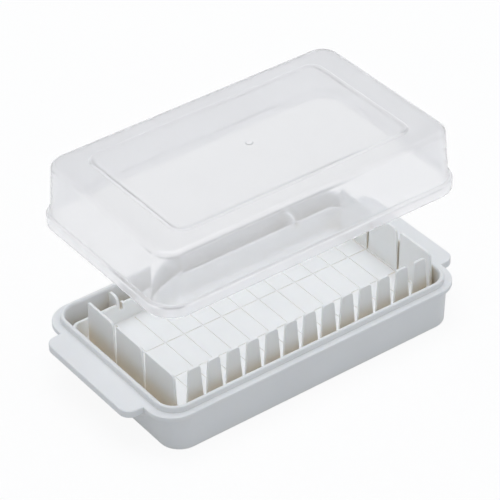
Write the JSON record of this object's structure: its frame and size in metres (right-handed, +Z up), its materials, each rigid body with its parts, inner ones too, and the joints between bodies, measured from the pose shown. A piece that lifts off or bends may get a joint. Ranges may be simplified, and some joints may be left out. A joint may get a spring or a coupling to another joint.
{
  "type": "butter portioning case",
  "caption": "Shallow case with end tabs, a grooved cutting guide with upright fins, and a clear hood lid held above it.",
  "frame": {"origin": "middle of the underside of the case, on the table", "axes": "+X along the length to the right, +Y to the back, +Z up; the front fins stand on the -Y side"},
  "size_m": [0.1634, 0.0878, 0.0935],
  "materials": {
    "case_plastic": "satin moulded ABS",
    "guide_plastic": "satin moulded ABS",
    "lid_resin": "clear AS resin, not glass"
  },
  "bodies": {
    "case": {"case": "case_plastic"},
    "guide": {"cutting_bed": "guide_plastic", "front_comb": "guide_plastic", "left_comb": "guide_plastic", "right_comb": "guide_plastic"},
    "lid": {"lid": "lid_resin"}
  },
  "joints": [
    {"name": "guide_lift", "type": "slide", "parent": "case", "child": "guide", "axis": [0, 0, 1], "range_m": [0, 0.03]},
    {"name": "lid_lift", "type": "slide", "parent": "guide", "child": "lid", "axis": [0, 0, 1], "range_m": [-0.047, 0.02]}
  ]
}
